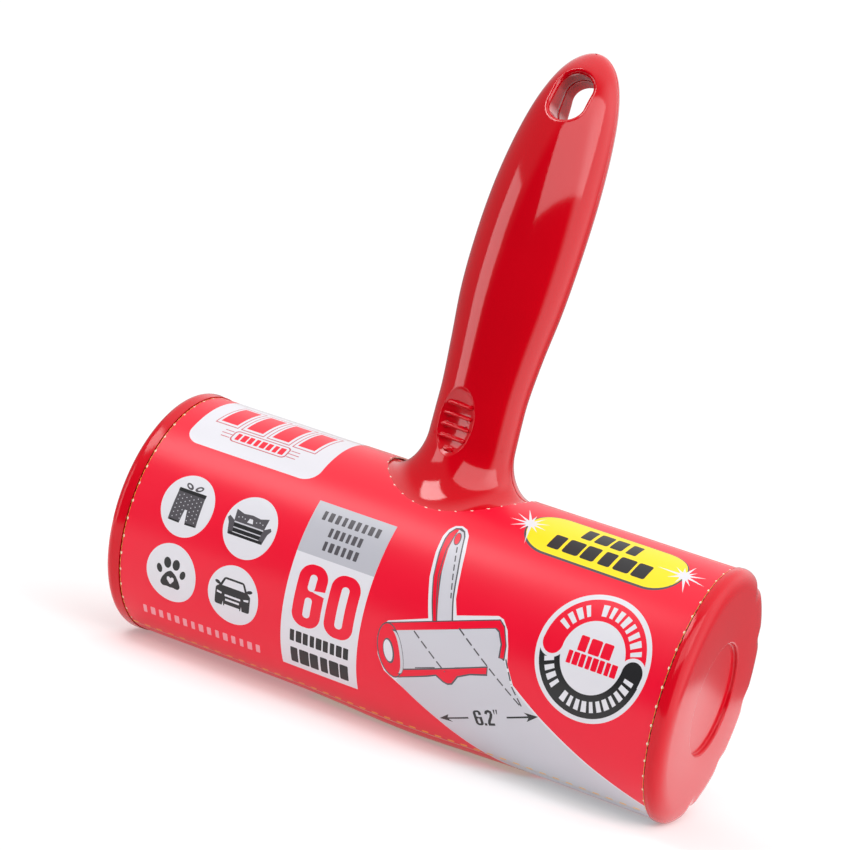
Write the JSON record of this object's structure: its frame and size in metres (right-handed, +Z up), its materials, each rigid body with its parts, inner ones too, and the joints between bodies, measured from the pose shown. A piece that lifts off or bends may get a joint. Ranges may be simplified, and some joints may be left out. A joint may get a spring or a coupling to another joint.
{
  "type": "lint roller",
  "caption": "Lint roller with a curved red handle on a drum-shaped case: sticky roll inside, turning cover, rounded end caps and a printed paper sleeve.",
  "frame": {"origin": "on the surface the end caps stand on, midway along the roll and right under its axis", "axes": "+X along the roll, +Z up along the handle, the front of the case and its thumb rest face -Y"},
  "size_m": [0.1704, 0.0708, 0.192],
  "materials": {
    "red_case_plastic": "polished moulding",
    "red_cap_plastic": "polished moulding",
    "red_cover_plastic": "satin moulding",
    "printed_paper": "semi-gloss print",
    "hot_glue": "glossy, set glue",
    "screw_steel": "zinc plated",
    "tape_paper": "tacky, satin",
    "core_card": "raw",
    "white_plastic": "fine moulding"
  },
  "bodies": {
    "case": {"front_shell": "red_case_plastic", "rear_shell": "red_case_plastic", "left_end_cap": "red_cap_plastic", "handle_screw_lower": "screw_steel", "handle_screw_upper": "screw_steel", "sleeve_seam_strip": "printed_paper", "sleeve_glue_strip": "hot_glue"},
    "right_cap": {"right_end_cap": "red_cap_plastic"},
    "cover": {"cover_shell": "red_cover_plastic", "cover_left_ring": "red_cover_plastic", "cover_right_ring": "red_cover_plastic"},
    "roll": {"tape_roll": "tape_paper", "leading_sheet": "tape_paper", "cardboard_core": "core_card", "left_hub": "white_plastic", "right_hub": "white_plastic", "hub_tube": "white_plastic", "left_washer": "white_plastic", "right_washer": "white_plastic"},
    "sleeve_front": {"sleeve_front_panel": "printed_paper"},
    "sleeve_rear": {"sleeve_rear_panel": "printed_paper"}
  },
  "joints": [
    {"name": "roll_spin", "type": "hinge", "parent": "case", "child": "roll", "pos_m": [0, 0, 0.0354], "axis": [1, 0, 0], "continuous": true},
    {"name": "cover_turn", "type": "hinge", "parent": "case", "child": "cover", "pos_m": [0, 0, 0.0354], "axis": [-1, 0, 0], "range_deg": [0, 123]},
    {"name": "right_cap_pull", "type": "slide", "parent": "case", "child": "right_cap", "axis": [1, 0, 0], "range_m": [0, 0.03]},
    {"name": "sleeve_front_lift", "type": "slide", "parent": "case", "child": "sleeve_front", "axis": [0, -1, 0], "range_m": [0, 0.07]},
    {"name": "sleeve_rear_lift", "type": "slide", "parent": "case", "child": "sleeve_rear", "axis": [0, 1, 0], "range_m": [0, 0.07]}
  ]
}
